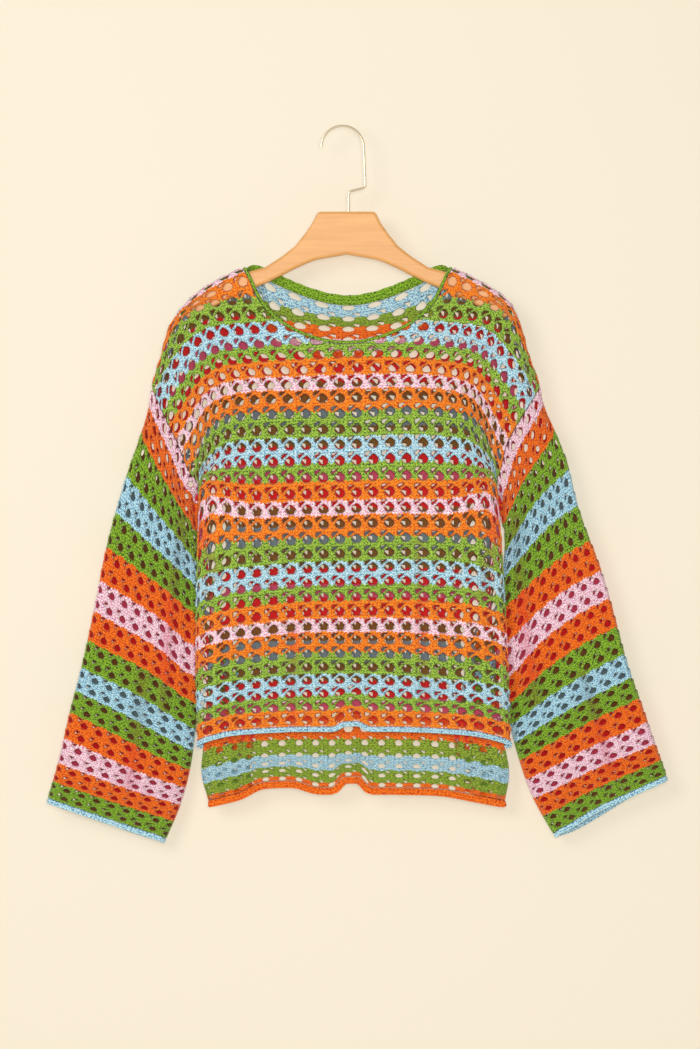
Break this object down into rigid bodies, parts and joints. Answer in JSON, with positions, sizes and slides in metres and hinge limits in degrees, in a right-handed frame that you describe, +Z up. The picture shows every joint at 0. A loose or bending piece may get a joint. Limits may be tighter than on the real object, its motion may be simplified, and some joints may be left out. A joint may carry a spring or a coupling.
{
  "type": "open-knit sweater on a hanger",
  "caption": "Striped open-knit pullover with a scoop neck, dropped shoulders and wide sleeves, hanging on a flat wooden hanger with a wire hook.",
  "frame": {"origin": "inside top of the hook, where it rests on a rail, in the middle plane of the hanger", "axes": "+Z up; the sweater's front looks along -Y; +X is to the viewer's right as the front is looked at"},
  "size_m": [0.7418, 0.0444, 0.8619],
  "materials": {
    "front_knit": "matt striped yarn: pink, orange, green and blue",
    "back_knit": "matt striped yarn: pink, orange, green and blue",
    "sleeve_knit": "matt striped yarn: pink, orange, green and blue",
    "green_rib": "matt green yarn, close knit",
    "blue_edging": "matt blue yarn, close knit",
    "orange_edging": "matt orange yarn, close knit",
    "beech": "light beech, thin satin varnish",
    "hook_steel": "bright bent wire"
  },
  "bodies": {
    "root": {"front_panel": "front_knit", "back_panel": "back_knit", "sleeve_left": "sleeve_knit", "sleeve_right": "sleeve_knit", "neckband": "green_rib", "front_hem_edging": "blue_edging", "back_hem_edging": "orange_edging", "cuff_edging_left": "blue_edging", "cuff_edging_right": "blue_edging", "hanger_wood": "beech", "hook": "hook_steel"}
  },
  "joints": []
}
